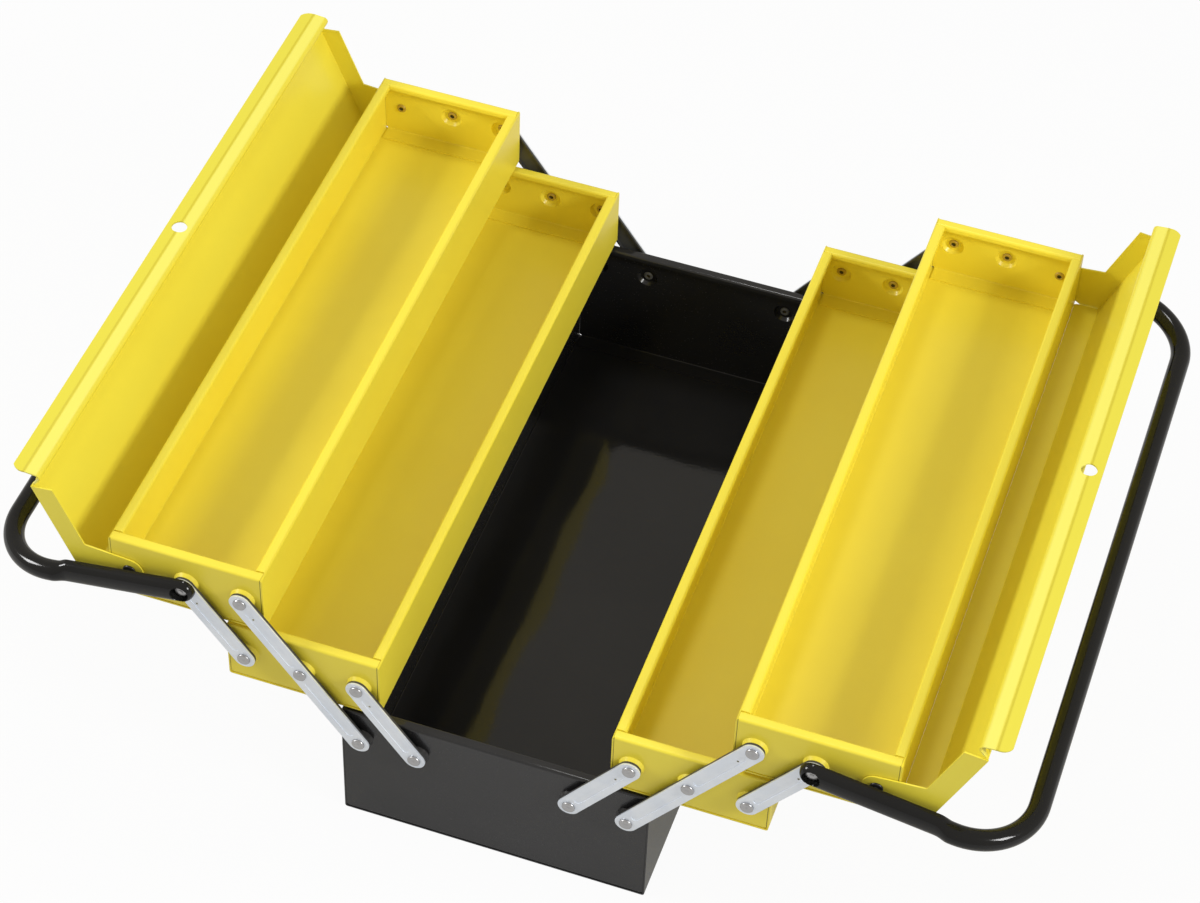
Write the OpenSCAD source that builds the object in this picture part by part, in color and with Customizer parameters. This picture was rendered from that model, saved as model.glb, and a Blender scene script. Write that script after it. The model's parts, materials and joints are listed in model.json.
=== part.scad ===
// Cantilever tool box, stored open: a steel base, two stages of trays on folding
// arms at each side, two lids and two bail handles.
// X is across the box, Y along it and Z up. The origin is on the floor, under the
// middle of the base. Lengths are in millimetres and angles in degrees.

/* [Box] */
// Length of the base and of every tray
box_length = 448; // [300:1:600]
// Width of the base, which the shut trays match
base_width = 200; // [180:1:260]
// Height of the base
base_height = 99; // [80:1:140]
// Height of each tray
tray_height = 46.5; // [42:0.5:60]
// Height left between a tray and the rim under it
tray_gap = 4; // [2:0.5:8]
// Gap between the left and the right trays when the box is shut
centre_gap = 1; // [0.6:0.2:3]

/* [Sheet metal] */
// Thickness of the sheet of the base, trays and lids
sheet = 1; // [0.8:0.1:1.4]
// Radius of the bends, at the middle of the sheet
bend_radius = 1.2; // [1.2:0.1:2]
// Width of the rim folded inwards along each top edge
rim_width = 6.8; // [5:0.2:8]
// Height of the lip that turns the rim down again
rim_lip = 4; // [3.4:0.2:6]
// Depth of the tab that holds an end plate to the floor
tab_depth = 12; // [8:1:20]
// Open seam beside an end plate
seam = 0.15; // [0.1:0.05:0.3]
// Radius of the relief hole in each bottom corner of an end plate
corner_relief = 2; // [1.8:0.1:3]

/* [Pivots] */
// Distance from a tray's long side to its outer pivots
pivot_edge = 13; // [12:0.5:18]
// Distance from the base rim down to its pivots
pivot_drop = 22.8; // [18:0.2:26]
// How much nearer its rim each stage carries its pivots
pivot_climb = 0.9; // [0:0.1:3]
// Radius of the boss pressed out round a pivot
boss_radius = 8; // [7.5:0.1:9]
// Radius of the flat top of that boss
boss_top = 6.4; // [5.8:0.1:6.8]
// Height of that boss
boss_height = 2.5; // [2:0.1:3.5]
// Thickness of the boss's slope, measured level
boss_wall = 0.6; // [0.4:0.1:0.8]
// Gap beside each moving layer
side_play = 0.15; // [0.1:0.05:0.3]

/* [Arms] */
// Width of an arm
arm_width = 14; // [13:0.2:16]
// Depth of an arm, over its turned edges
arm_depth = 2.6; // [2.2:0.1:3.5]
// Thickness of the steel of an arm
arm_sheet = 1.2; // [1:0.1:1.4]
// Radius of the round seat that an arm turns on
arm_seat = 5; // [4.6:0.1:5.2]
// Width of the shallow groove pressed along an arm
groove_width = 4.6; // [3:0.2:6]
// Depth of that groove
groove_depth = 0.4; // [0.2:0.1:0.6]
// Distance from a pivot to the groove
groove_start = 9.5; // [8:0.5:12]
// Radius of the small tooling hole near the upper pivot
pip_radius = 0.8; // [0.5:0.1:1.2]

/* [Rivets] */
// Radius of a rivet's shank
shank_radius = 2.5; // [2:0.1:3]
// Radius of a rivet's head
head_radius = 4.2; // [3.8:0.1:4.6]
// Height of a rivet's head
head_height = 1.4; // [1:0.1:2]
// Height of the straight edge of the head
head_edge = 0.6; // [0.4:0.1:0.8]
// Width of the sloping shoulder of the head
head_round = 0.9; // [0.5:0.1:1.4]
// Radius of the small dimple in the middle of the head
dimple_radius = 1.4; // [1:0.1:1.8]
// Depth of that dimple
dimple_depth = 0.3; // [0.1:0.1:0.5]
// Radius of the rolled end inside the box
tail_radius = 3.3; // [3:0.1:4.6]
// Height of the rolled end
tail_height = 1.2; // [0.8:0.1:1.6]
// Size of the rounded corner of the rolled end
tail_round = 0.4; // [0.2:0.1:0.6]
// Radius of the hollow in the rolled end
hollow_radius = 1.4; // [1:0.1:1.7]
// Running clearance round a shank in a part that turns
running_fit = 0.05; // [0.03:0.01:0.09]
// Clearance round a shank in the plate that holds it
snug_fit = 0.02; // [0.02:0.01:0.04]

/* [Lids] */
// Lean of the open lid from the level
lid_lean = 68; // [64:0.5:72]
// Distance from the handle pivot down to the lid pivot
lid_pivot_drop = 2.5; // [0:0.5:6]
// Width of the strip of the lid's end cheek
cheek_width = 13.9; // [12:0.1:16]
// How far the shut cheek laps down over the end of the tray
cheek_lap = 1.1; // [0:0.1:2]
// How far the strip's slanted end is cut back at its inner corner
cheek_slant = 3.8; // [0:0.2:6]
// Radius of the cheek's tongue round the lid pivot
tongue_radius = 8.8; // [7:0.2:9]
// How far the tongue's upper edge climbs from its round end to the strip
tongue_rise = 2.6; // [0:0.2:4]
// Distance from the lid pivot out to the heel at the foot of the tongue
tongue_heel = 16.5; // [14:0.5:20]
// Gap between the cheek and the end of the tray
cheek_gap = 0.4; // [0.3:0.1:0.6]
// Gap between the skirt and the tray, open and shut
skirt_gap = 0.3; // [0.2:0.1:0.6]
// Distance that the skirt ends short of the cheek
skirt_inset = 2; // [1.5:0.5:6]
// Radius of the corners of the skirt
skirt_corner = 3; // [2:0.5:4]
// Gap between the two shut lids
ridge_gap = 3.2; // [1:0.2:5]
// Height of the raised edge above the roof of the lid
ridge_lip = 7.5; // [6:0.1:9]
// Height of the flat strip along the top of the raised edge
strip_height = 8.1; // [7:0.1:9]
// How far that strip leans towards the ridge
strip_lean = 2.8; // [2:0.2:4]
// How far the band under the strip leans towards the ridge
band_lean = 5.3; // [4:0.1:6]
// Depth under the roof at which the band and the ramp would meet, were their bend sharp
bead_depth = 11; // [9:0.2:12]
// Width of the ramp from the roof down to that bend
bead_ramp = 6.2; // [5:0.2:8]
// Radius of that bend, at the middle of the sheet
bead_radius = 2.6; // [2:0.1:3]
// Radius of the bend at the top of the ramp
ramp_radius = 2; // [1.4:0.1:3]
// Distance that the raised edge ends short of the cheek
ridge_inset = 0.5; // [0.2:0.1:4]
// Radius of the corners of the raised edge
ridge_corner = 7; // [5:0.5:8]
// Radius of the padlock hole
padlock_radius = 5; // [3.5:0.1:5.5]
// Radius of the relief hole where the cheek ends
lid_relief = 2; // [1.5:0.1:2.5]
// Distance from the cheek in to the middle of the relief hole
relief_inset = 5; // [4:0.5:8]
// Width of the slit from the relief hole out to the end of the sheet
relief_slit = 0.6; // [0.4:0.1:1]

/* [Handles] */
// Radius of the handle tube
tube_radius = 6.5; // [6:0.1:8]
// Wall of the handle tube
tube_wall = 1.3; // [1:0.1:1.6]
// Radius of the handle's bends, at the middle of the tube
handle_bend = 42; // [36:1:50]
// Slope of the open handle below the level
handle_droop = 9.5; // [5:0.5:12]
// How far the edge of the open lid reaches past the inside of the handle
handle_lap = 1.2; // [0:0.1:3]
// Half the width of the flattened leg
leg_half = 8; // [7.5:0.1:9]
// Depth of the flattened leg
leg_depth = 7; // [6.8:0.1:7.4]
// Length over which the tube flattens into the leg
flare_length = 14; // [10:1:20]
// Radius of the sunk seat round the handle's rivet
seat_radius = 5.2; // [5:0.1:5.6]
// How far the round tube bulges nearer the box than the flat of the leg
tube_bulge = 2.9; // [2:0.1:3.4]
// Thickness of the handle where its rivet holds it
seat_sheet = 1.5; // [1.2:0.1:2]

/* [Hidden] */
$fn = 48;
// Largest turn of one flat of a bend
bend_step = 15;
// Largest turn of one flat of a tongue's round end
round_step = 8;
// Length by which every cut runs past what it cuts
overrun = 3;

yellow = [0.93, 0.83, 0.12];
black = [0.10, 0.10, 0.11];
zinc = [0.80, 0.82, 0.86];

half_length = box_length / 2;
tray_width = (base_width - centre_gap) / 2;
// Middle of a shut tray, and the step from one pivot to the next
shut_middle = (centre_gap + tray_width) / 2;
pitch = tray_width / 2 - pivot_edge;
// Height that each stage stands above the one below
rise = tray_height + tray_gap + pivot_climb;
arm_reach = norm([pitch, rise]);
arm_angle = atan2(rise, pitch);

base_pivot_z = base_height - pivot_drop;
lower_pivot_z = base_pivot_z + rise;
upper_pivot_z = base_pivot_z + 2 * rise;
lower_floor = base_height + tray_gap;
upper_floor = lower_floor + tray_height + tray_gap;
lower_middle = shut_middle + 2 * pitch;
upper_middle = shut_middle + 4 * pitch;

// Layers, as distances out from the end of the box
arm_face = boss_height + side_play;
arm_head_face = arm_face + arm_depth + side_play;
handle_face = arm_head_face;
handle_head_face = handle_face + seat_sheet + side_play;
cheek_outer = cheek_gap + sheet;
lid_head_face = cheek_outer + side_play;

// The lid, seen from the front with its pivot at zero and the lid shut
lid_pivot = [upper_middle + pitch, upper_pivot_z - lid_pivot_drop];
lid_travel = 180 - lid_lean;
tray_corner = [pivot_edge, upper_floor + tray_height - lid_pivot[1]];
roof_height = tray_corner[1] - cheek_lap + cheek_width;
skirt_normal = [sin(lid_travel), -cos(lid_travel)];
skirt_distance = skirt_normal * tray_corner + skirt_gap + sheet / 2;
roof_middle = roof_height - sheet / 2;
roof_bend = [(skirt_distance - skirt_normal[1] * roof_middle) / skirt_normal[0], roof_middle];
skirt_edge = turned([tray_corner[0] + skirt_gap, -skirt_distance], lid_travel);
ridge_x = ridge_gap / 2 - shut_middle - pitch;
ridge_tip = [ridge_x + sheet / 2, roof_middle + ridge_lip];
strip_foot = ridge_tip + [strip_lean, -strip_height];
bead_bottom = [strip_foot[0] + band_lean, roof_middle - bead_depth];
ramp_top = [bead_bottom[0] + bead_ramp, roof_middle];

// The handle, with its pivot at zero and its legs along X
handle_pivot = [upper_middle, upper_pivot_z];
open_tip = lid_pivot + turned([ridge_tip[0] - sheet / 2, ridge_tip[1] + sheet / 2], -lid_travel);
handle_reach = norm(open_tip - handle_pivot) - handle_lap + tube_radius;
tube_y = handle_face - tube_bulge + tube_radius;
flare_tip = sheet / 4;
leg_radius = (leg_half * leg_half + leg_depth * leg_depth) / (2 * leg_depth);

function turned(p, a) = [p[0] * cos(a) - p[1] * sin(a), p[0] * sin(a) + p[1] * cos(a)];
function heading(a, b) = atan2(b[1] - a[1], b[0] - a[0]);
function bend_angle(p, i) = let (raw = heading(p[i], p[i + 1]) - heading(p[i - 1], p[i]))
    raw > 180 ? raw - 360 : raw < -180 ? raw + 360 : raw;

// Points of one line of a bent sheet, a set distance to the left of its middle line
function bent_line(points, radii, left) = let (last = len(points) - 1) [
    for (i = [0 : last])
        let (before = heading(points[max(i, 1) - 1], points[max(i, 1)]),
             inner = i > 0 && i < last,
             turn = inner ? bend_angle(points, i) : 0,
             side = turn > 0 ? 1 : -1,
             radius = inner ? radii[i - 1] : 0,
             centre = points[i] - radius * tan(abs(turn) / 2) * [cos(before), sin(before)]
                 + side * radius * [-sin(before), cos(before)],
             steps = inner ? max(2, ceil(abs(turn) / bend_step)) : 0)
        for (k = [0 : steps])
            let (way = before - side * 90 + (inner ? turn * k / steps : 0))
            inner ? centre + (radius - side * left) * [cos(way), sin(way)]
                : points[i] + left * [-sin(before), cos(before)]
];

// Section of sheet bent along the points, with one bend radius for each inner point
module bent_section(points, radii) {
    near = bent_line(points, radii, sheet / 2);
    far = bent_line(points, radii, -sheet / 2);
    polygon(concat(near, [for (i = [len(far) - 1 : -1 : 0]) far[i]]));
}

// Puts a section drawn in X and Z along Y, centred
module along_y(length) {
    rotate([90, 0, 0])
        linear_extrude(height = length, center = true)
            children();
}

// Stands children drawn along Z on the front end of the box, pointing out
module on_front(x, z) {
    translate([x, -half_length, z])
        rotate([90, 0, 0])
            children();
}

module at_back() mirror([0, 1, 0]) children();
module at_left() mirror([1, 0, 0]) children();
module at_both_ends() {
    children();
    at_back() children();
}

// Floor and two long sides with folded rims, in one sheet
module channel(width, height) {
    wall = width / 2 - sheet / 2;
    lip = width / 2 - rim_width + sheet / 2;
    rim = height - sheet / 2;
    half = [[lip, height - rim_lip], [lip, rim], [wall, rim], [wall, sheet / 2]];
    points = concat(half, [for (i = [3 : -1 : 0]) [-half[i][0], half[i][1]]]);
    inner = width - 2 * sheet;
    difference() {
        along_y(box_length)
            bent_section(points, [for (i = [1 : 6]) bend_radius]);
        at_both_ends()
            translate([-inner / 2, -half_length - overrun, height - rim_lip - seam])
                cube([inner, rim_width + seam + overrun, rim_lip + seam + overrun]);
    }
}

// End plate with a floor tab, a folded rim and a pressed boss round each pivot
module end_plate(width, height, bosses, flat_holes) {
    face = -half_length + sheet / 2;
    rim = height - sheet / 2;
    lip = -half_length + rim_width - sheet / 2;
    points = [[-half_length + tab_depth, 1.5 * sheet], [face, 1.5 * sheet], [face, rim],
        [lip, rim], [lip, height - rim_lip]];
    inner = width - 2 * sheet;
    difference() {
        union() {
            rotate([90, 0, 90])
                linear_extrude(height = inner - 2 * seam, center = true)
                    bent_section(points, [for (i = [1 : 3]) bend_radius]);
            for (p = bosses)
                on_front(p[0], p[1])
                    cylinder(h = boss_height, r1 = boss_radius, r2 = boss_top);
        }
        for (p = bosses)
            on_front(p[0], p[1]) {
                translate([0, 0, -sheet])
                    cylinder(h = boss_height, r1 = boss_radius - boss_wall, r2 = boss_top - boss_wall);
                cylinder(h = 2 * overrun + boss_height, r = shank_radius + snug_fit, center = true);
            }
        for (p = flat_holes)
            on_front(p[0], p[1])
                cylinder(h = 2 * overrun, r = shank_radius + snug_fit, center = true);
        for (x = [-inner / 2, inner / 2])
            on_front(x, sheet)
                translate([0, 0, -tab_depth - overrun])
                    cylinder(h = tab_depth + 2 * overrun, r = corner_relief);
    }
}

// Semi-tubular rivet: the rolled end lies on the plate inside, the head outside
module rivet(plate_inside, head_face) {
    rolled = plate_inside - snug_fit;
    end = rolled - tail_height;
    top = head_face + head_height;
    rotate_extrude()
        polygon([
            [hollow_radius, end], [tail_radius - tail_round, end], [tail_radius, end + tail_round],
            [tail_radius, rolled], [shank_radius, rolled], [shank_radius, head_face],
            [head_radius, head_face], [head_radius, head_face + head_edge],
            [head_radius - head_round, top], [dimple_radius, top],
            [dimple_radius - dimple_depth, top - dimple_depth], [0, top - dimple_depth],
            [0, rolled], [hollow_radius, rolled]
        ]);
}

module arm_outline(reach, half_width) {
    for (x = [0, reach])
        translate([x, 0])
            circle(r = half_width);
    translate([0, -half_width])
        square([reach, 2 * half_width]);
}

// Pressed steel arm from its lower pivot, with a round seat and a hole at each pivot
module arm(steps) {
    reach = steps * arm_reach;
    web = arm_depth - arm_sheet;
    difference() {
        translate([0, 0, arm_face])
            linear_extrude(height = arm_depth)
                arm_outline(reach, arm_width / 2);
        difference() {
            translate([0, 0, arm_face - overrun])
                linear_extrude(height = overrun + web)
                    arm_outline(reach, arm_width / 2 - arm_sheet);
            for (k = [0 : steps])
                translate([k * arm_reach, 0, arm_face - 2 * overrun])
                    cylinder(h = 2 * overrun + arm_depth, r = arm_seat);
        }
        for (k = [0 : steps])
            translate([k * arm_reach, 0, arm_face - overrun])
                cylinder(h = arm_depth + 2 * overrun, r = shank_radius + running_fit);
        for (k = [0 : steps - 1])
            translate([k * arm_reach + groove_start, 0, arm_face + arm_depth - groove_depth])
                linear_extrude(height = groove_depth + overrun)
                    arm_outline(arm_reach - 2 * groove_start, groove_width / 2);
        translate([reach - groove_start - groove_width, 0, arm_face])
            cylinder(h = arm_depth + overrun, r = pip_radius);
    }
}

module front_arm(x, z, steps) {
    color(zinc)
        on_front(x, z)
            rotate(arm_angle)
                arm(steps);
}

// Shut outline of the lid's end cheek, with the lid pivot at zero
module cheek_outline() {
    inner = roof_height - cheek_width;
    crook = [(-tongue_radius - tongue_rise - skirt_normal[1] * inner) / skirt_normal[0], inner];
    heel = turned([tongue_heel, -skirt_distance - sheet / 2], lid_travel);
    outer = heel - (roof_height - heel[1]) / skirt_normal[0] * [skirt_normal[1], -skirt_normal[0]];
    // The tongue's round, between the two straight edges that touch it
    first = heading([0, 0], heel) - acos(tongue_radius / norm(heel));
    last = heading([0, 0], crook) + acos(tongue_radius / norm(crook)) - 360;
    steps = ceil((first - last) / round_step);
    polygon(concat([outer, heel],
        [for (k = [0 : steps]) turned([tongue_radius, 0], first + (last - first) * k / steps)],
        [crook, [ramp_top[0] + cheek_slant, inner], ramp_top + [0, sheet / 2]]));
}

// Flat outline as wide as two lengths along Y, with its two corners at high X rounded
module rounded_flap(low, high, half_width, corner) {
    for (s = [-1, 1])
        translate([high - corner, s * (half_width - corner)])
            circle(r = corner);
    translate([low, -half_width])
        square([high - corner - low, 2 * half_width]);
    translate([low, corner - half_width])
        square([high - low, 2 * (half_width - corner)]);
}

// The whole lid as it lies when shut, with its pivot at zero
module shut_lid() {
    cheek_y = half_length + cheek_outer;
    ridge_y = cheek_y - ridge_inset;
    skirt_y = cheek_y - skirt_inset;
    difference() {
        union() {
            intersection() {
                along_y(2 * cheek_y)
                    bent_section(
                        [skirt_edge, roof_bend, ramp_top, bead_bottom, strip_foot, ridge_tip],
                        [bend_radius, ramp_radius, bead_radius, bend_radius]);
                union() {
                    translate([ramp_top[0], -cheek_y, roof_height - cheek_width])
                        cube([roof_bend[0] - ramp_top[0], 2 * cheek_y, cheek_width + overrun]);
                    // The raised edge, seen from the ridge
                    translate([ridge_tip[0] - sheet, 0, 0])
                        rotate([0, -90, 0])
                            mirror([0, 0, 1])
                                linear_extrude(height = ramp_top[0] + 2 * sheet - ridge_tip[0])
                                    rounded_flap(0, ridge_tip[1] + sheet / 2, ridge_y, ridge_corner);
                    // The skirt, seen from outside
                    rotate([0, 90, 0])
                        linear_extrude(height = roof_height)
                            rounded_flap(-roof_height - overrun, sheet - skirt_edge[1], skirt_y,
                                skirt_corner);
                }
            }
            at_both_ends()
                translate([0, -half_length - cheek_gap, 0])
                    rotate([90, 0, 0])
                        linear_extrude(height = sheet)
                            cheek_outline();
        }
        rotate([90, 0, 0])
            cylinder(h = 2 * cheek_y + overrun, r = shank_radius + running_fit, center = true);
        at_both_ends()
            translate([ramp_top[0] - sheet, 0, roof_height - cheek_width]) {
                translate([0, relief_inset - cheek_y, 0])
                    cylinder(h = 2 * cheek_width, r = lid_relief);
                translate([-relief_slit / 2, -cheek_y - overrun, 0])
                    cube([relief_slit, relief_inset + overrun, cheek_width + overrun]);
            }
        translate([strip_foot[0], 0, strip_foot[1]])
            rotate([0, -heading(bead_bottom, ridge_tip), 0])
                cylinder(h = 3 * sheet, r = padlock_radius, center = true);
    }
}

// Wall of the round tube, in section
module tube_section() {
    difference() {
        circle(r = tube_radius);
        circle(r = tube_radius - tube_wall);
    }
}

// Section of the flattened leg: a cap whose open side faces the box at zero
module leg_cap(inset) {
    past = inset > 0 ? overrun : 0;
    intersection() {
        translate([leg_depth - leg_radius, 0])
            circle(r = leg_radius - inset);
        translate([-past, -2 * leg_half])
            square([2 * leg_depth + past, 4 * leg_half]);
    }
}

module leg_section() {
    difference() {
        leg_cap(0);
        leg_cap(tube_wall);
    }
}

// Cone that turns from the leg's section to the tube's, from its pivot side outwards
module flare_cone(inset) {
    past = inset > 0 ? 3 * flare_tip : 0;
    hull() {
        translate([flare_length + past, tube_bulge - tube_radius, 0])
            rotate([0, -90, 0])
                cylinder(h = flare_tip, r = tube_radius - inset, $fn = 32);
        translate([-past, leg_radius - leg_depth, 0])
            rotate([0, 90, 0])
                cylinder(h = flare_tip, r = leg_radius - inset, $fn = 32);
    }
}

// The part of the leg where the tube flattens: its open side closes along a slope
module flare() {
    difference() {
        intersection() {
            flare_cone(0);
            rotate(atan2(tube_bulge + flare_tip, flare_length))
                translate([-flare_length, -4 * leg_depth, -2 * leg_half])
                    cube([3 * flare_length, 4 * leg_depth, 4 * leg_half]);
        }
        flare_cone(tube_wall);
    }
}

// One leg with its sunk seat, from the pivot along X, its flat side at zero in Y
module leg(length) {
    difference() {
        union() {
            rotate([90, 0, -90])
                mirror([0, 0, 1])
                    linear_extrude(height = length)
                        leg_section();
            // Domed end round the pivot
            rotate([90, 0, 0])
                rotate(90)
                    rotate_extrude(angle = 180)
                        intersection() {
                            rotate(90)
                                leg_section();
                            square([2 * leg_half, 2 * leg_depth]);
                        }
            intersection() {
                rotate([90, 0, 0])
                    cylinder(h = 2 * leg_depth, r = seat_radius + tube_wall);
                union() {
                    rotate([90, 0, -90])
                        mirror([0, 0, 1])
                            linear_extrude(height = 2 * leg_half)
                                leg_cap(0);
                    rotate([90, 0, 0])
                        rotate(90)
                            rotate_extrude(angle = 180)
                                intersection() {
                                    rotate(90)
                                        leg_cap(0);
                                    square([2 * leg_half, 2 * leg_depth]);
                                }
                }
            }
        }
        rotate([90, 0, 0]) {
            translate([0, 0, seat_sheet])
                cylinder(h = 2 * leg_depth, r = seat_radius);
            cylinder(h = 2 * overrun, r = shank_radius + running_fit, center = true);
        }
    }
}

module handle() {
    leg_end = handle_reach - handle_bend;
    grip = half_length + tube_y - handle_bend;
    leg_y = -half_length - handle_face;
    translate([leg_end, 0, 0]) {
        translate([handle_bend, 0, 0])
            rotate([90, 0, 0])
                linear_extrude(height = 2 * grip, center = true)
                    tube_section();
        at_both_ends() {
            translate([0, -grip, 0])
                rotate(-90)
                    rotate_extrude(angle = 90)
                        translate([handle_bend, 0])
                            tube_section();
            translate([-flare_length, leg_y, 0])
                flare();
        }
    }
    at_both_ends()
        translate([0, leg_y, 0])
            leg(leg_end - flare_length);
}

// Pivot places of the right side, seen from the front
base_pivots = [[shut_middle, base_pivot_z], [shut_middle + pitch, base_pivot_z]];
tray_pivots = [for (k = [-1 : 1]) k * pitch];

module base_end() {
    bosses = [for (s = [-1, 1], p = base_pivots) [s * p[0], p[1]]];
    color(black)
        end_plate(base_width, base_height, bosses, []);
}

module lower_end() {
    color(yellow)
        translate([lower_middle, 0, lower_floor])
            end_plate(tray_width, tray_height,
                [for (x = tray_pivots) [x, lower_pivot_z - lower_floor]], []);
}

module upper_end() {
    color(yellow)
        translate([upper_middle, 0, upper_floor])
            end_plate(tray_width, tray_height,
                [for (x = [-pitch, 0]) [x, upper_pivot_z - upper_floor]],
                [[pitch, lid_pivot[1] - upper_floor]]);
}

module rivet_pair(x, z, plate_inside, head_face) {
    color(zinc)
        at_both_ends()
            on_front(x, z)
                rivet(plate_inside, head_face);
}

module base_channel() color(black) channel(base_width, base_height);
module base_front_end() base_end();
module base_back_end() at_back() base_end();
module base_rivets() {
    for (p = base_pivots, s = [-1, 1])
        rivet_pair(s * p[0], p[1], boss_height - sheet, arm_head_face);
}

module right_inner_arm_front() front_arm(base_pivots[0][0], base_pivot_z, 1);
module right_inner_arm_back() at_back() right_inner_arm_front();
module right_long_arm_front() front_arm(base_pivots[1][0], base_pivot_z, 2);
module right_long_arm_back() at_back() right_long_arm_front();
module right_outer_arm_front() front_arm(lower_middle + pitch, lower_pivot_z, 1);
module right_outer_arm_back() at_back() right_outer_arm_front();

module right_lower_tray_channel() {
    color(yellow)
        translate([lower_middle, 0, lower_floor])
            channel(tray_width, tray_height);
}
module right_lower_tray_front_end() lower_end();
module right_lower_tray_back_end() at_back() lower_end();
module right_lower_tray_rivets() {
    for (x = tray_pivots)
        rivet_pair(lower_middle + x, lower_pivot_z, boss_height - sheet, arm_head_face);
}

module right_upper_tray_channel() {
    color(yellow)
        translate([upper_middle, 0, upper_floor])
            channel(tray_width, tray_height);
}
module right_upper_tray_front_end() upper_end();
module right_upper_tray_back_end() at_back() upper_end();
module right_upper_tray_rivets() {
    rivet_pair(upper_middle - pitch, upper_pivot_z, boss_height - sheet, arm_head_face);
}

module right_lid() {
    color(yellow)
        translate([lid_pivot[0], 0, lid_pivot[1]])
            rotate([0, lid_travel, 0])
                shut_lid();
}
module right_lid_rivets() rivet_pair(lid_pivot[0], lid_pivot[1], -sheet, lid_head_face);

module right_handle() {
    color(black)
        translate([handle_pivot[0], 0, handle_pivot[1]])
            rotate([0, handle_droop, 0])
                handle();
}
module right_handle_rivets() {
    rivet_pair(handle_pivot[0], handle_pivot[1], boss_height - sheet, handle_head_face);
}

base_channel();
base_front_end();
base_back_end();
base_rivets();

right_inner_arm_front();
right_inner_arm_back();
right_long_arm_front();
right_long_arm_back();
right_outer_arm_front();
right_outer_arm_back();
right_lower_tray_channel();
right_lower_tray_front_end();
right_lower_tray_back_end();
right_lower_tray_rivets();
right_upper_tray_channel();
right_upper_tray_front_end();
right_upper_tray_back_end();
right_upper_tray_rivets();
right_lid();
right_lid_rivets();
right_handle();
right_handle_rivets();

at_left() right_inner_arm_front();  // left_inner_arm_front
at_left() right_inner_arm_back();  // left_inner_arm_back
at_left() right_long_arm_front();  // left_long_arm_front
at_left() right_long_arm_back();  // left_long_arm_back
at_left() right_outer_arm_front();  // left_outer_arm_front
at_left() right_outer_arm_back();  // left_outer_arm_back
at_left() right_lower_tray_channel();  // left_lower_tray_channel
at_left() right_lower_tray_front_end();  // left_lower_tray_front_end
at_left() right_lower_tray_back_end();  // left_lower_tray_back_end
at_left() right_lower_tray_rivets();  // left_lower_tray_rivets
at_left() right_upper_tray_channel();  // left_upper_tray_channel
at_left() right_upper_tray_front_end();  // left_upper_tray_front_end
at_left() right_upper_tray_back_end();  // left_upper_tray_back_end
at_left() right_upper_tray_rivets();  // left_upper_tray_rivets
at_left() right_lid();  // left_lid
at_left() right_lid_rivets();  // left_lid_rivets
at_left() right_handle();  // left_handle
at_left() right_handle_rivets();  // left_handle_rivets
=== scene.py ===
"""Cantilever tool box, stored open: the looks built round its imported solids."""
import json
import math

import bmesh
import bpy
import numpy as np
from mathutils import Matrix, Vector


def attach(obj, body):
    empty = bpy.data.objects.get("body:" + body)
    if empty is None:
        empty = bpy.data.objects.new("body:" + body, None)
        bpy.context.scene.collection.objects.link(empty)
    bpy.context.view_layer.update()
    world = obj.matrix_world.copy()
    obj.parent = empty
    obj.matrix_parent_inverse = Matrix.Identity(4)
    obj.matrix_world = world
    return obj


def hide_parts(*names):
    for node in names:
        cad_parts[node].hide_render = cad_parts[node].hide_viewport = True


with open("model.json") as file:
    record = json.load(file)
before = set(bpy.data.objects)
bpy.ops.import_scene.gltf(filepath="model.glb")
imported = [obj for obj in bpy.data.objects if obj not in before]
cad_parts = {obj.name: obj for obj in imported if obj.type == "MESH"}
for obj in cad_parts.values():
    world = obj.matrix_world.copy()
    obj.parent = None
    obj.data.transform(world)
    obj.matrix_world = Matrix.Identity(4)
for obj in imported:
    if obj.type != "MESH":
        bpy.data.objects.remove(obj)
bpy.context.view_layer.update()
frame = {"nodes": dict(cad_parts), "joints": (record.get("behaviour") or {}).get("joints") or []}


# Base: one black sheet folded into floor and sides, and two end plates spot-welded to it.
# Baked gloss enamel over steel: smooth and mirror-like inside, faintly pebbled outside.
mm = 0.001
half_length = 224.0  # of the base and the trays, in millimetres


class Wire:
    """A shader socket used as a number: every operator adds one Math node."""

    def __init__(self, finish, socket):
        self.finish, self.socket = finish, socket

    def math(self, kind, *terms):
        return self.finish.node("ShaderNodeMath", {"operation": kind}, dict(enumerate(terms)))

    def __add__(self, other):
        return self.math("ADD", self, other)

    def __sub__(self, other):
        return self.math("SUBTRACT", self, other)

    def __rsub__(self, other):
        return self.math("SUBTRACT", other, self)

    def __mul__(self, other):
        return self.math("MULTIPLY", self, other)

    def __abs__(self):
        return self.math("ABSOLUTE", self)

    def __lt__(self, other):
        return self.math("LESS_THAN", self, other)

    def __gt__(self, other):
        return self.math("GREATER_THAN", self, other)

    def within(self, low, high):
        """0 below low, 1 above high, smooth between."""
        ends = {"Value": self, "From Min": low, "From Max": high}
        return self.finish.node("ShaderNodeMapRange", {"interpolation_type": "SMOOTHSTEP"}, ends)

    __radd__, __rmul__ = __add__, __mul__


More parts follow.
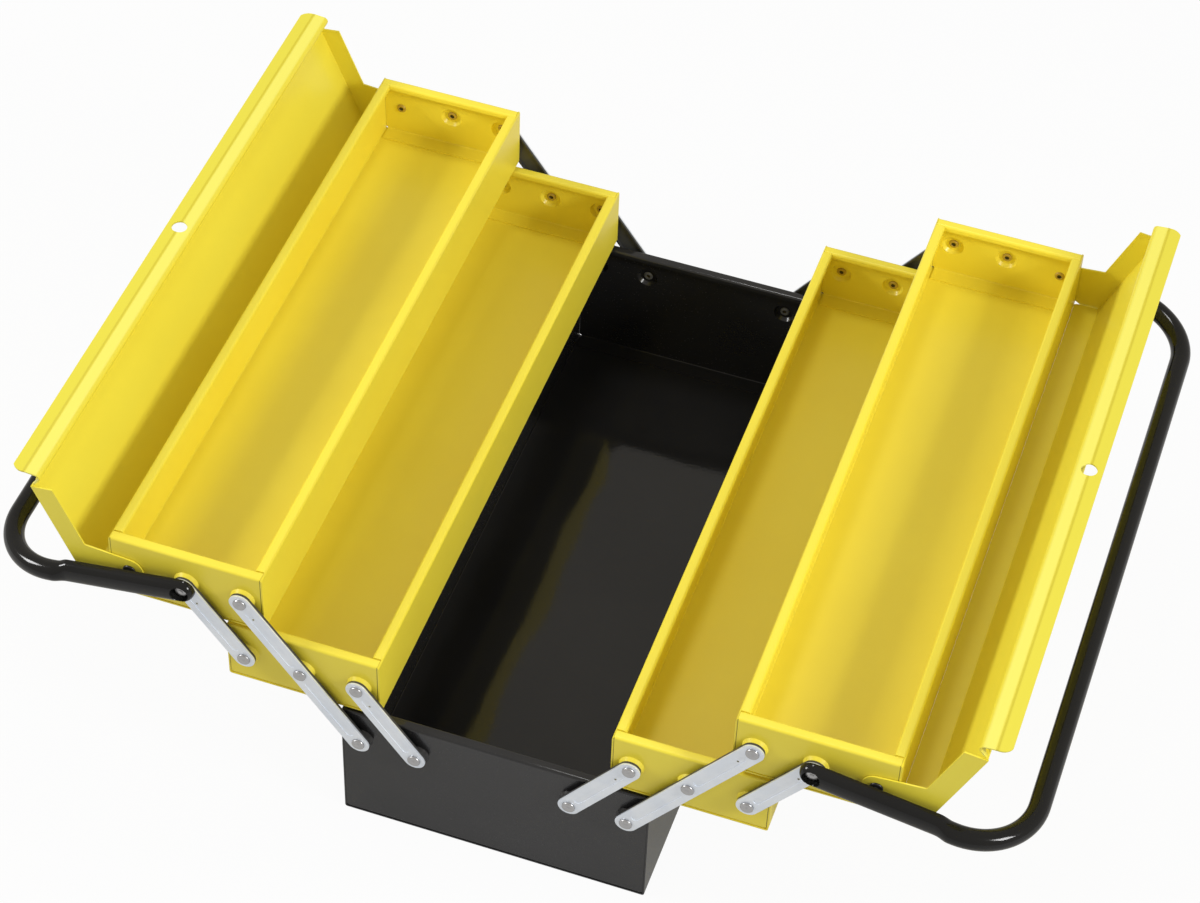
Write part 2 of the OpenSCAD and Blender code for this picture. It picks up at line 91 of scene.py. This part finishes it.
class Finish:
    """One procedural finish: a Principled shader and the nodes that feed it."""

    def __init__(self, name, **constants):
        self.material = bpy.data.materials.new(name)
        self.material.use_nodes = True
        self.tree = self.material.node_tree
        self.shader = self.tree.nodes["Principled BSDF"]
        for socket, value in constants.items():
            self.shader.inputs[socket.replace("_", " ")].default_value = value
        self.place = self.node("ShaderNodeTexCoord", out="Object")

    def node(self, kind, settings=(), values=(), out=0):
        """New node: its settings are made first, then the values or links of its sockets."""
        made = self.tree.nodes.new(kind)
        for key, value in dict(settings).items():
            setattr(made, key, value)
        for key, value in dict(values).items():
            if isinstance(value, Wire):
                self.tree.links.new(value.socket, made.inputs[key])
            else:
                made.inputs[key].default_value = value
        return Wire(self, made.outputs[out])

    def noise(self, scale, detail):
        """Soft random pattern from 0 to 1; scale counts its cells in a metre."""
        return self.node("ShaderNodeTexNoise", {}, {"Vector": self.place, "Scale": scale, "Detail": detail})

    def off_centre(self, axis):
        """Distance from the middle of the box along one axis (0 across, 1 along, 2 up), in metres."""
        return abs(self.node("ShaderNodeSeparateXYZ", {}, {0: self.place}, out=axis))

    def mix(self, share, first, second):
        """Colour that goes from first to second as share goes from 0 to 1."""
        values = {"Factor": share, 6: first, 7: second}
        return self.node("ShaderNodeMix", {"data_type": "RGBA"}, values, out=2)

    def feed(self, socket, value):
        self.tree.links.new(value.socket, self.shader.inputs[socket])

    def bump(self, height, depth, before=None):
        """Relief of the given depth in metres; height goes from 0 to 1."""
        values = {"Height": height, "Distance": depth}
        if before:
            values["Normal"] = before
        return self.node("ShaderNodeBump", {}, values)


def darker(colour, share):
    """The colour with its red, green and blue taken down to a share."""
    return tuple(channel * share for channel in colour[:3]) + (1,)


def paint(name, colour, deep, rough, pebble, sheen=0.0, shine=0.5, well=None, crease=None, shaded_seams=None,
          painted_light_bands=()):
    """Baked enamel: colour drifts a little towards deep, fine pebbling lies over long soft waves.

    Inside the well, a box of half width and half length, the roughness drops to a third. A crease is a
    pressed line along the box at the given distance from its middle: a notch of the given half width and
    depth. Shaded seams are the open joints at a half width to both sides of a distance from the middle; on
    their outer face they carry a painted shade. Painted light bands are (distance from the middle, colour):
    from there outwards, on the raised edge of a lid, the coat takes that colour, a painted highlight or a
    painted shade.
    """
    coat = Finish(name, Coat_Roughness=0.12, Coat_Weight=sheen, IOR=1.5, Specular_IOR_Level=shine)
    cloud = coat.noise(9.0, 3.0).within(0.3, 0.7)
    speck = coat.noise(900.0, 2.0).within(0.62, 0.75)
    tone = coat.mix(cloud * 0.6 + speck * 0.25, colour, deep)
    # Painted light on the raised edge of a lid: each band lays a painted highlight or a painted shade over
    # the enamel.
    for start, shade in painted_light_bands:
        raised = coat.off_centre(2).within(231 * mm, 233 * mm)
        beyond = coat.off_centre(0).within(start, start + 1.2 * mm)
        tone = coat.mix(beyond * raised * 0.9, tone, shade)
    if shaded_seams:
        middle, half_width = shaded_seams
        # Painted shade in the open joint, on its outer face only.
        joint_shade = abs(coat.off_centre(0) - middle).within(half_width - 0.4 * mm, half_width - 0.1 * mm)
        outer_face = coat.off_centre(1).within((half_length - 0.7) * mm, (half_length - 0.4) * mm)
        tone = coat.mix(joint_shade * outer_face, tone, darker(deep, 0.12))
    coat.feed("Base Color", tone)
    dull = rough + cloud * 0.05 + speck * 0.08
    if well:
        inside = (coat.off_centre(0) < well[0]) * (coat.off_centre(1) < well[1])
        dull = dull * (1 - inside * 0.67)
    coat.feed("Roughness", dull)
    relief = coat.bump(coat.noise(14.0, 1.0), 0.9 * mm)
    if crease:
        place, half_width, depth = crease
        relief = coat.bump(abs(coat.off_centre(0) - place).within(0, half_width), depth, relief)
    coat.feed("Normal", coat.bump(coat.noise(420.0, 2.0), pebble, relief))
    return coat.material


def smooth(mesh, work, sharp):
    """Puts the faces worked on into the mesh, smooth, with edges sharp beyond an angle in degrees."""
    for face in work.faces:
        face.smooth = True
    work.to_mesh(mesh)
    work.free()
    mesh.set_sharp_from_angle(angle=math.radians(sharp))


def stand_in(name, mesh, node, body):
    """Piece that stands for a CAD node, rides on its body and takes its finish from a slot."""
    piece = bpy.data.objects.new(name, mesh)
    bpy.context.scene.collection.objects.link(piece)
    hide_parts(node)
    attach(piece, body)
    return piece


def dressed(node, body, material, edge, sharp=34):
    """Copy of a CAD solid, merged, its flats joined, its bends smooth and its cut edges eased by edge."""
    mesh = frame["nodes"][node].data.copy()
    work = bmesh.new()
    work.from_mesh(mesh)
    bmesh.ops.remove_doubles(work, verts=work.verts, dist=0.002 * mm)
    bmesh.ops.dissolve_limit(work, angle_limit=math.radians(0.4), verts=work.verts, edges=work.edges)
    smooth(mesh, work, sharp)
    mesh.materials.clear()
    mesh.materials.append(material)
    piece = stand_in(node + "_dressed", mesh, node, body)
    ease = piece.modifiers.new("eased edges", "BEVEL")
    ease.width, ease.segments = edge, 2
    ease.limit_method, ease.angle_limit = "ANGLE", math.radians(sharp)
    flat = piece.modifiers.new("flat faces", "WEIGHTED_NORMAL")
    flat.keep_sharp = True
    return piece


black_enamel = paint(
    "black enamel", (0.018, 0.018, 0.019, 1), (0.026, 0.026, 0.028, 1), rough=0.20, pebble=0.03 * mm,
    well=(98.7 * mm, (half_length - 1.3) * mm))
for node in ("base_channel", "base_front_end", "base_back_end"):
    dressed(node, "base", black_enamel, 0.25 * mm)


# Trays: four yellow channels of folded sheet, each with two end plates set between its sides.
# Baked glossy yellow enamel. The open joints beside the end plates are real; on their outer face they carry
# a painted shade.
yellow, shaded = (0.90, 0.765, 0.065, 1), (0.87, 0.72, 0.05, 1)
gloss = dict(rough=0.32, pebble=0.03 * mm, sheen=0.05, shine=0.4)
plate_half_width = 48.6 * mm
hinges = {joint["name"]: joint["pos_m"] for joint in frame["joints"]}


def pivot(name):
    """Place of a hinge of the right side, across and up, in millimetres."""
    across, _, up = hinges[f"right_{name}_hinge"]
    return across / mm, up / mm


lower_tray, upper_tray, handle_pivot = pivot("lower_tray"), pivot("upper_tray"), pivot("handle")
tray_middle = {"lower": lower_tray[0] * mm, "upper": handle_pivot[0] * mm}
channel_enamel = paint("yellow enamel", yellow, shaded, **gloss)
for level, middle in tray_middle.items():
    plate_enamel = paint(f"{level} end enamel", yellow, shaded, shaded_seams=(middle, plate_half_width), **gloss)
    for side in ("right", "left"):
        tray = f"{side}_{level}_tray"
        dressed(f"{tray}_channel", tray, channel_enamel, 0.25 * mm)
        for end in ("front", "back"):
            dressed(f"{tray}_{end}_end", tray, plate_enamel, 0.25 * mm)


# Lids: two pressed yellow sheets with end cheeks, a skirt and a raised edge with a padlock hole.
# The pressed line in the raised edge parts a paler stretch of enamel, a painted highlight, from a deeper
# stretch, a painted shade, and a dark stretch of painted shade runs along the line itself. The free lip of
# the skirt lies almost against the wall of the tray: it is turned towards it.
crest, crease_place, strip = 289.0 * mm, 297.2 * mm, 298.0 * mm
# Painted light on the raised edge: a pale painted highlight, a dark painted shade at the crease, a deeper
# painted shade beyond.
painted_highlight, painted_crease_shade, painted_edge_shade = (0.86, 0.80, 0.14, 1), (0.66, 0.56, 0.03, 1), (0.76, 0.68, 0.06, 1)
lid_enamel = paint(
    "lid enamel", (0.90, 0.785, 0.068, 1), (0.87, 0.74, 0.053, 1), crease=(crease_place, 1.6 * mm, 0.4 * mm),
    painted_light_bands=((crest, painted_highlight), (crease_place - 1.0 * mm, painted_crease_shade), (strip, painted_edge_shade)), **gloss)
lip_inner, lip_top, lip_turn = 247.4 * mm, 162 * mm, 0.25 * mm
between_cheeks = (half_length - 1) * mm
for side in ("right", "left"):
    lid = dressed(f"{side}_lid", f"{side}_lid", lid_enamel, 0.12 * mm)
    spots = np.empty(3 * len(lid.data.vertices), dtype=np.float32)
    lid.data.vertices.foreach_get("co", spots)
    x, y, z = spots.reshape(-1, 3).T
    lip = (np.abs(x) < lip_inner) & (z < lip_top) & (np.abs(y) < between_cheeks)
    x[lip] -= np.sign(x[lip]) * lip_turn
    lid.data.vertices.foreach_set("co", spots)


# Arms: pressed strips of zinc-plated steel with turned edges and a shallow groove. The hollow side that
# faces the box, with the inner part of the turned edges, is painted near-black and not metallic: painted
# shade.
zinc = Finish("zinc plate")
grain = zinc.noise(260.0, 3.0)
blot = zinc.noise(60.0, 2.0)
plated = zinc.mix(blot.within(0.35, 0.65), (0.82, 0.88, 0.97, 1), (0.88, 0.93, 1.00, 1))
# Painted shade: near-black and not metallic on the hollow side of the arms that faces the box.
painted_inner_shade = (0.05, 0.05, 0.05, 1)
outside = zinc.off_centre(1).within((half_length + 4.0) * mm, (half_length + 4.5) * mm)
zinc.feed("Base Color", zinc.mix(outside, painted_inner_shade, plated))
zinc.feed("Metallic", outside * 0.45)
zinc.feed("Roughness", grain * 0.2 + 0.28)
zinc.feed("Normal", zinc.bump(grain, 0.03 * mm))
for side in ("right", "left"):
    for name in ("inner", "long", "outer"):
        for end in ("front", "back"):
            dressed(f"{side}_{name}_arm_{end}", f"{side}_{name}_arms", zinc.material, 0.35 * mm)


# Rivets: semi-tubular steel rivets, the pivots of the arms, trays, lids and handles.
# A low round head stays outside; the hollow end is rolled over inside. Zinc-plated, but black on the lids.
def lathe(profile, places, hollow_rings, turns=40):
    """Profile of (radius, reach) turned round an axis along Y at each (x, z, end of the box).

    Point = (x + radius cos a, end (half length + reach), z + radius sin a) for a from 0 to a full turn. The
    first rings of the profile are marked as the hollow.
    """
    radius, reach = np.array(profile).T
    angle = np.arange(turns) * 2 * np.pi / turns
    x, z, end = (np.array(each)[:, None, None] for each in zip(*places))
    ring, out = radius[None, :, None], half_length + reach[None, :, None]
    points = np.stack(np.broadcast_arrays(
        x + ring * np.cos(angle), end * out, z + ring * np.sin(angle)), axis=-1)
    row, turn = np.meshgrid(np.arange(len(radius) - 1), np.arange(turns), indexing="ij")
    first, second = row * turns + turn, row * turns + (turn + 1) % turns
    faces = np.stack((first, second, second + turns, first + turns), axis=-1).reshape(-1, 4)
    first_corner = (np.arange(len(places)) * len(radius) * turns)[:, None, None]
    rings = np.repeat(np.arange(len(radius)), turns)
    hollow = np.tile((rings < hollow_rings).astype(np.float32), len(places))
    return points.reshape(-1, 3), (faces[None] + first_corner).reshape(-1, 4), hollow


def shell(node, body, slot, material, points, faces, hollow=None, sharp=40):
    """Closed skin in place of a CAD node, faces turned outwards and smooth up to the sharp angle."""
    mesh = bpy.data.meshes.new(node + "_skin")
    mesh.from_pydata(points * mm, [], faces.tolist())
    if hollow is not None:
        mesh.attributes.new("hollow", "FLOAT", "POINT").data.foreach_set("value", hollow)
    work = bmesh.new()
    work.from_mesh(mesh)
    bmesh.ops.remove_doubles(work, verts=work.verts, dist=0.002 * mm)
    bmesh.ops.recalc_face_normals(work, faces=work.faces)
    smooth(mesh, work, sharp)
    mesh.materials.append(material)
    stand_in(node + "_skin", mesh, node, body)


def rivet_finish(name, head, inside, split, bright):
    """Head colour beyond the split distance from mid-length, inside colour nearer, painted shade down the
    hollow.
    """
    metal = Finish(name)
    wear = metal.noise(700.0, 2.0)
    outer = metal.off_centre(1) > split
    hollow = metal.node("ShaderNodeAttribute", {"attribute_name": "hollow"}, out=2)
    worn = metal.mix(wear * 0.5, head, darker(head, 0.8))
    rolled = metal.mix(wear, inside, darker(inside, 0.7))
    # Painted shade down the hollow of the rolled end.
    painted_hollow_shade = (0.05, 0.04, 0.01, 1)
    metal.feed("Base Color", metal.mix(hollow, metal.mix(outer, rolled, worn), painted_hollow_shade))
    metal.feed("Metallic", outer * bright)
    metal.feed("Roughness", wear * 0.2 + 0.24)
    return metal.material


def rivets(node, body, places, inside, head_face, material, slot):
    """Rivets of one node: hollow and rolled end up to the inside of the plate, shank, then the head."""
    end, top, shank = inside - 1.22, head_face + 1.4, 2.5
    hollow = [(0, end + 1.1), (1.25, end + 1.05), (1.4, end + 0.5)]
    rolled = [(1.6, end + 0.12), (2.0, end), (2.6, end + 0.06), (3.05, end + 0.32), (3.27, end + 0.7),
              (3.3, inside - 0.02)]
    head = [(4.1, head_face), (4.2, head_face + 0.12), (4.2, head_face + 0.55), (4.0, top - 0.42),
            (3.6, top - 0.14), (3.0, top - 0.01), (1.5, top - 0.02), (1.2, top - 0.12), (0.9, top - 0.28),
            (0, top - 0.3)]
    profile = hollow + rolled + [(shank, inside - 0.02), (shank, head_face)] + head
    both_ends = [(x, z, end) for x, z in places for end in (-1, 1)]
    shell(node, body, slot, material, *lathe(profile, both_ends, len(hollow)))


inner_arm, long_arm, outer_arm, lid_pivot = (pivot(n) for n in ("inner_arm", "long_arm", "outer_arm", "lid"))
arm_pitch = long_arm[0] - inner_arm[0]
lower_inner = (lower_tray[0] - arm_pitch, lower_tray[1])
split, lid_split = (half_length + 2.5) * mm, (half_length + 0.5) * mm
bare, black = (0.52, 0.52, 0.53, 1), (0.014, 0.014, 0.014, 1)
in_yellow, in_black = (0.55, 0.38, 0.05, 1), (0.16, 0.16, 0.16, 1)
tray_rivet = rivet_finish("tray rivet", bare, in_yellow, split, 0.9)
base_rivet = rivet_finish("base rivet", bare, in_black, split, 0.9)
lid_rivet = rivet_finish("lid rivet", black, in_yellow, lid_split, 0.0)
arm_seat, arm_head, handle_head = 1.5, 5.4, 7.05
lid_seat, lid_head = -1.0, 1.55
base_places = [(turn * x, z) for turn in (-1, 1) for x, z in (inner_arm, long_arm)]
rivets("base_rivets", "base", base_places, arm_seat, arm_head, base_rivet, "rivet_plate")
kinds = (
    ("lower_tray", "lower_tray", (lower_inner, lower_tray, outer_arm), arm_seat, arm_head),
    ("upper_tray", "upper_tray", (upper_tray,), arm_seat, arm_head),
    ("lid", "upper_tray", (lid_pivot,), lid_seat, lid_head),
    ("handle", "upper_tray", (handle_pivot,), arm_seat, handle_head),
)
for side, turn in (("right", 1), ("left", -1)):
    for name, body, places, inside, head_face in kinds:
        finish, slot = (lid_rivet, "black_paint") if name == "lid" else (tray_rivet, "rivet_plate")
        turned = [(turn * x, z) for x, z in places]
        rivets(f"{side}_{name}_rivets", f"{side}_{body}", turned, inside, head_face, finish, slot)


# Handles: steel tube bent to a bail. Each leg is pressed to a half-round trough whose open side lies
# against the box, and its end is dished round the rivet. High-gloss black enamel.
gloss_black = paint(
    "handle enamel", (0.008, 0.008, 0.008, 1), (0.012, 0.012, 0.012, 1), rough=0.08, pebble=0.012 * mm,
    sheen=0.1, shine=0.25)
leg_half, leg_depth, wall, flare_length = 8.0, 7.0, 1.3, 11.5
tube, bend, reach, droop = 6.5, 42.0, 129.236, math.radians(9.5)
leg_face, tube_centre = half_length + arm_head, 3.6
seat_sheet, seat_radius, seat_rim = 1.5, 4.9, 5.7


def smooth_step(value, low, high):
    """0 below low, 1 above high and 3t^2 - 2t^3 between, t being the share of the way."""
    share = np.clip((value - low) / (high - low), 0, 1)
    return share * share * (3 - 2 * share)


def crown(distance, half, depth, squareness=2.5):
    """Flattened dome: depth (1 - (distance / half)^squareness)^(1 / squareness)."""
    return depth * np.clip(1 - np.clip(distance / half, 0, 1) ** squareness, 0, 1) ** (1 / squareness)


def trough(along):
    """Closed loops of the pressed leg at each distance along it from the pivot.

    A loop's points have a place along the leg, a depth away from the box and a height. The outer side is
    crown(|height|), and the inner side the same crown less the wall. Before the pivot the crown takes the
    distance from the pivot, which closes the end as a dome. Round the rivet it drops to a sunk seat.
    """
    span = np.sqrt(np.clip(leg_half ** 2 - np.minimum(along, 0) ** 2, 0, None))
    sweep = np.linspace(-np.pi / 2, np.pi / 2, 57)[None]
    outer_height = span * np.sin(sweep)
    outer_along = along + 0 * outer_height
    outer_pivot = np.sqrt(along ** 2 + outer_height ** 2)
    ridge = np.where(along < 0, outer_pivot, np.abs(outer_height))
    outer_depth = crown(ridge, leg_half, leg_depth)
    out_of_seat = smooth_step(outer_pivot, seat_radius, seat_rim)
    outer_depth = np.minimum(outer_depth, seat_sheet + (outer_depth - seat_sheet) * out_of_seat)

    shrink = (leg_half - wall) / leg_half
    back = np.linspace(np.pi / 2, -np.pi / 2, 23)[None]
    inner_height = shrink * span * np.sin(back)
    inner_along = np.where(along < 0, along * shrink, along) + 0 * inner_height
    inner_pivot = np.sqrt(inner_along ** 2 + inner_height ** 2)
    inner_ridge = np.where(along < 0, inner_pivot, np.abs(inner_height))
    inner_depth = crown(inner_ridge, leg_half - wall, leg_depth - wall)
    inner_depth = inner_depth * smooth_step(inner_pivot, seat_rim + 0.3, seat_rim + 0.9)
    loops = ((outer_along, inner_along), (outer_depth, inner_depth), (outer_height, inner_height))
    return (np.concatenate(pair, axis=1) for pair in loops)


def handle_skin(turn):
    """Section carried along the handle, from its front pivot round the grip to its back pivot.

    At a station the section is a closed loop: the trough on the leg, and a circle of radius tube on the bend
    and the grip. Between them the loops are blended by a smooth step of the distance along the leg. The back
    half mirrors the front half. The whole is turned down by the droop round the pivots.
    """
    seat_end, flare_from, leg_end = 7.2, reach - bend - flare_length, reach - bend
    dome = -leg_half * np.cos(np.linspace(0, np.pi / 2, 24))
    seat = np.linspace(0, seat_end, 30)[1:]
    leg = np.linspace(seat_end, flare_from, 12)[1:]
    flare = np.linspace(flare_from, leg_end, 16)[1:]
    along = np.concatenate((dome, seat, leg, flare))[:, None]
    stretch, depth, height = trough(along)

    round_way = np.radians(np.concatenate((np.linspace(-150, 150, 57), np.linspace(152, 208, 23))))
    circle_depth = (tube_centre + tube * np.cos(round_way))[None]
    circle_height = (tube * np.sin(round_way))[None]
    share = smooth_step(along, flare_from, leg_end - 1.5)
    depth = depth * (1 - share) + circle_depth * share
    height = height * (1 - share) + circle_height * share
    leg_points = np.stack((stretch, -leg_face - depth, height), axis=-1)

    grip = leg_face + tube_centre - bend
    way = np.linspace(0, np.pi / 2, 30)[1:, None]
    arm = bend + circle_depth - tube_centre
    bend_points = np.stack(np.broadcast_arrays(
        leg_end + arm * np.sin(way), -grip - arm * np.cos(way), circle_height), axis=-1)
    bars = np.linspace(-grip, 0, 8)[1:, None]
    grip_points = np.stack(np.broadcast_arrays(leg_end + arm, bars, circle_height), axis=-1)
    half = np.concatenate((leg_points, bend_points, grip_points))
    whole = np.concatenate((half, half[-2::-1] * (1, -1, 1)))

    x, y, z = np.moveaxis(whole, -1, 0)
    out = handle_pivot[0] + x * np.cos(droop) + z * np.sin(droop)
    up = handle_pivot[1] + z * np.cos(droop) - x * np.sin(droop)
    points = np.stack((turn * out, y, up), axis=-1).reshape(-1, 3)
    stations, loop = x.shape
    station, place = np.meshgrid(np.arange(stations - 1), np.arange(loop), indexing="ij")
    near, far = station * loop, (station + 1) * loop
    after = (place + 1) % loop
    faces = np.stack((near + place, near + after, far + after, far + place), axis=-1)
    return points, faces.reshape(-1, 4)


for side, turn in (("right", 1), ("left", -1)):
    shell(f"{side}_handle", f"{side}_handle", "handle_paint", gloss_black, *handle_skin(turn), sharp=50)


# Stage: plain white floor under a dome of even light and three soft lamps, seen from the photo's viewing
# angle. The floor keeps its shadow, and shows white to the camera and fainter in reflections.
floor_half = 12.0
floor_corners = [(x * floor_half, y * floor_half, 0) for x, y in ((-1, -1), (1, -1), (1, 1), (-1, 1))]
floor_mesh = bpy.data.meshes.new("floor")
floor_mesh.from_pydata(floor_corners, [], [(0, 1, 2, 3)])
floor = bpy.data.objects.new("floor", floor_mesh)
bpy.context.scene.collection.objects.link(floor)
floor_finish = Finish("floor", Roughness=0.9, Base_Color=(0.55, 0.55, 0.55, 1))
seen = floor_finish.node("ShaderNodeLightPath", out="Is Camera Ray")
mirrored = floor_finish.node("ShaderNodeLightPath", out="Is Glossy Ray")
glow = floor_finish.node("ShaderNodeEmission", {}, {"Color": (1, 1, 1, 1), "Strength": 1.0})
blend = floor_finish.node("ShaderNodeMixShader", {}, {
    0: seen * 0.95 + mirrored * 0.15, 1: Wire(floor_finish, floor_finish.shader.outputs[0]), 2: glow})
floor_finish.tree.links.new(blend.socket, floor_finish.tree.nodes["Material Output"].inputs["Surface"])
floor_mesh.materials.append(floor_finish.material)

world = bpy.data.worlds.new("studio")
bpy.context.scene.world = world
world.use_nodes = True
sky = world.node_tree.nodes["Background"]
path = world.node_tree.nodes.new("ShaderNodeLightPath")
shade = world.node_tree.nodes.new("ShaderNodeMix")
shade.data_type = "RGBA"
shade.inputs[6].default_value, shade.inputs[7].default_value = (0.495, 0.47, 0.43, 1), (1, 1, 1, 1)
world.node_tree.links.new(path.outputs["Is Camera Ray"], shade.inputs["Factor"])
world.node_tree.links.new(shade.outputs[2], sky.inputs["Color"])


def lamp(name, place, aim, size, power):
    """Square soft lamp at place, turned to aim."""
    light = bpy.data.lights.new(name, "AREA")
    light.shape, light.size, light.energy = "SQUARE", size, power
    holder = bpy.data.objects.new(name, light)
    holder.location = place
    holder.rotation_euler = (Vector(aim) - Vector(place)).to_track_quat("-Z", "Y").to_euler()
    bpy.context.scene.collection.objects.link(holder)


lamp("top", (-0.2, 0.6, 2.2), (0, 0, 0.1), 0.35, 6)
lamp("left", (-1.8, -0.45, 1.35), (0, 0, 0.1), 0.55, 25)
lamp("right", (1.8, -0.55, 1.35), (0, 0, 0.1), 0.55, 26)

azimuth, elevation, roll = (math.radians(angle) for angle in (17.21, 47.375, 2.497))
distance, aim = 2.0321, Vector((0.00018, -0.03457, 0.17728))
frame_width, focal_length, sensor = 1200, 3245.1, 36
ground = math.cos(elevation)
back = Vector((math.sin(azimuth) * ground, -math.cos(azimuth) * ground, math.sin(elevation)))
across = Vector((0, 0, 1)).cross(back).normalized()
up = back.cross(across)
right = math.cos(roll) * across + math.sin(roll) * up
above = math.cos(roll) * up - math.sin(roll) * across
camera_data = bpy.data.cameras.new("camera")
camera_data.sensor_fit, camera_data.sensor_width = "HORIZONTAL", sensor
camera_data.lens = focal_length / frame_width * sensor
camera = bpy.data.objects.new("camera", camera_data)
facing = Matrix((right, above, back)).transposed().to_4x4()
camera.matrix_world = Matrix.Translation(aim + distance * back) @ facing
bpy.context.scene.collection.objects.link(camera)
bpy.context.scene.camera = camera
bpy.context.scene.view_settings.view_transform = "Standard"

bpy.context.view_layer.update()
